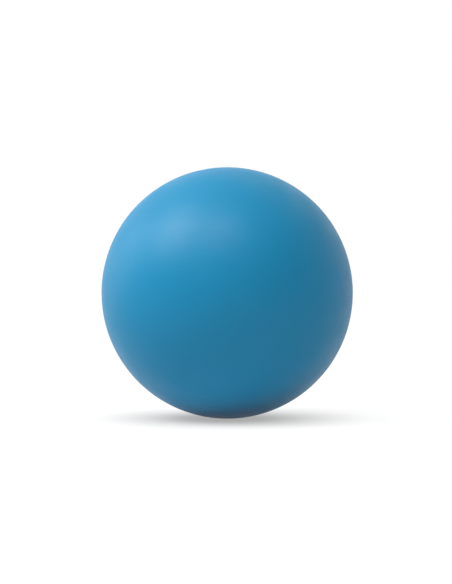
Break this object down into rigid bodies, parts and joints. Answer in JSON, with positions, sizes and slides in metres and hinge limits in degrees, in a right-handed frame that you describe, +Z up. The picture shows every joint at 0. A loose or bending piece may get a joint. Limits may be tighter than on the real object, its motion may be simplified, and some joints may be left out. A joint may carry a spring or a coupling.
{
  "type": "inflatable rubber dodgeball",
  "caption": "Smooth air-filled rubber play ball with a thread-wound carcass, an inner air bladder and a recessed self-sealing needle valve.",
  "frame": {"origin": "centre of the ball", "axes": "+Y along the valve's axis and out of its mouth, +Z up; the side that the picture shows is -Y"},
  "size_m": [0.2164, 0.2159, 0.2164],
  "materials": {
    "cover_rubber": "matte smooth coloured rubber",
    "carcass_rubber": "plain black rubber, bonded on both faces",
    "winding_thread": "undyed nylon thread, wound in all directions",
    "patch_fabric": "rubbered woven cloth",
    "bladder_rubber": "thin black butyl rubber",
    "boot_rubber": "moulded black rubber",
    "plug_rubber": "soft dark grey rubber"
  },
  "bodies": {
    "root": {"cover": "cover_rubber", "carcass_rubber": "carcass_rubber", "nylon_winding": "winding_thread", "valve_patch": "patch_fabric", "bladder": "bladder_rubber", "valve_boot": "boot_rubber", "valve_plug": "plug_rubber"}
  },
  "joints": []
}
